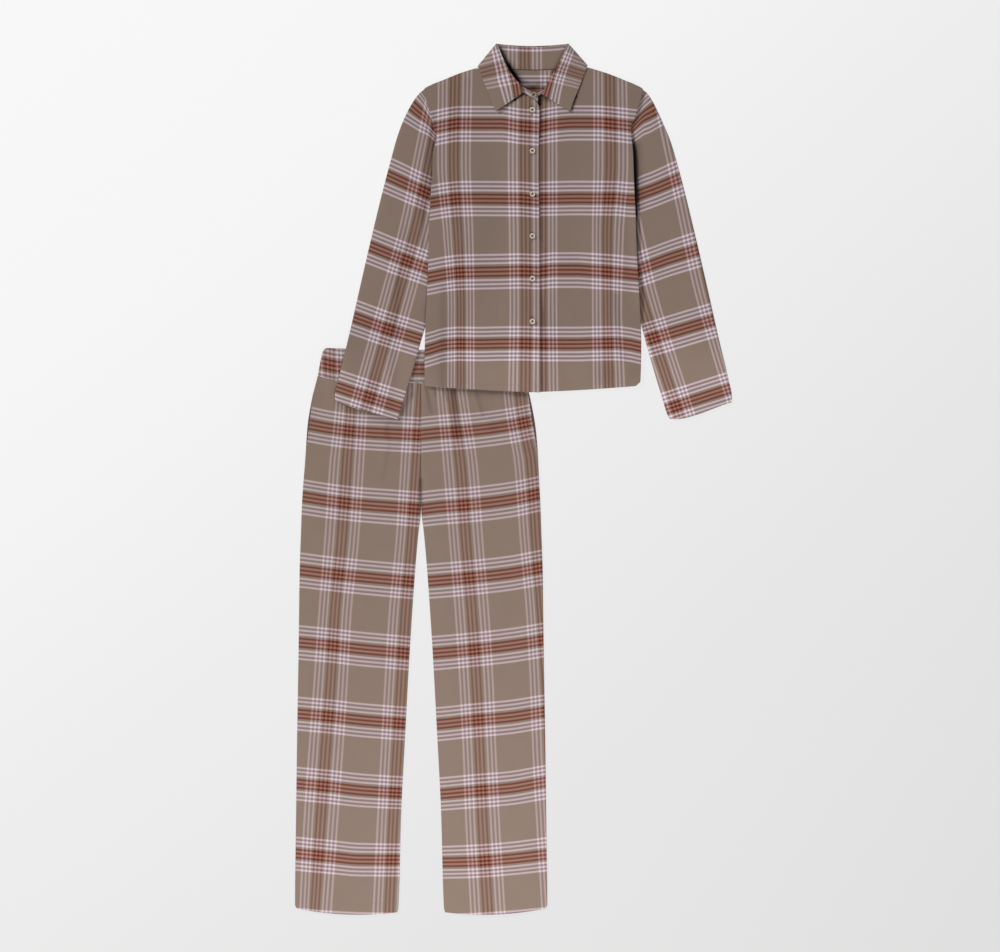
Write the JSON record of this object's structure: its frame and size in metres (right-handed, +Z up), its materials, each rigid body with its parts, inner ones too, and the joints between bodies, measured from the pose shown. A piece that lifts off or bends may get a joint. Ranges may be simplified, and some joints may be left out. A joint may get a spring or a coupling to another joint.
{
  "type": "pyjama set",
  "caption": "Long-sleeved buttoned pyjama shirt with a pointed collar, laid flat over straight elastic-waist trousers, in brushed check flannel.",
  "frame": {"origin": "centre of the set's outline on the surface it lies on", "axes": "+Y towards the collar, +X towards the wearer's left, +Z up from the surface"},
  "size_m": [0.8046, 1.6025, 0.0174],
  "materials": {
    "flannel": "brushed cotton flannel, taupe with white and rust check lines",
    "button": "semi-gloss, cream"
  },
  "bodies": {
    "root": {"trousers_back_right": "flannel", "trousers_back_left": "flannel", "trousers_front_right": "flannel", "trousers_front_left": "flannel", "waistband_back": "flannel", "waistband_front": "flannel", "pocket_facing_right": "flannel", "pocket_facing_left": "flannel", "sleeve_right": "flannel", "sleeve_left": "flannel", "shirt_back": "flannel", "shirt_front_right": "flannel", "shirt_front_left": "flannel", "collar_stand": "flannel", "collar_fall": "flannel", "button_1": "button", "button_2": "button", "button_3": "button", "button_4": "button", "button_5": "button", "button_6": "button", "button_stand": "button"}
  },
  "joints": []
}
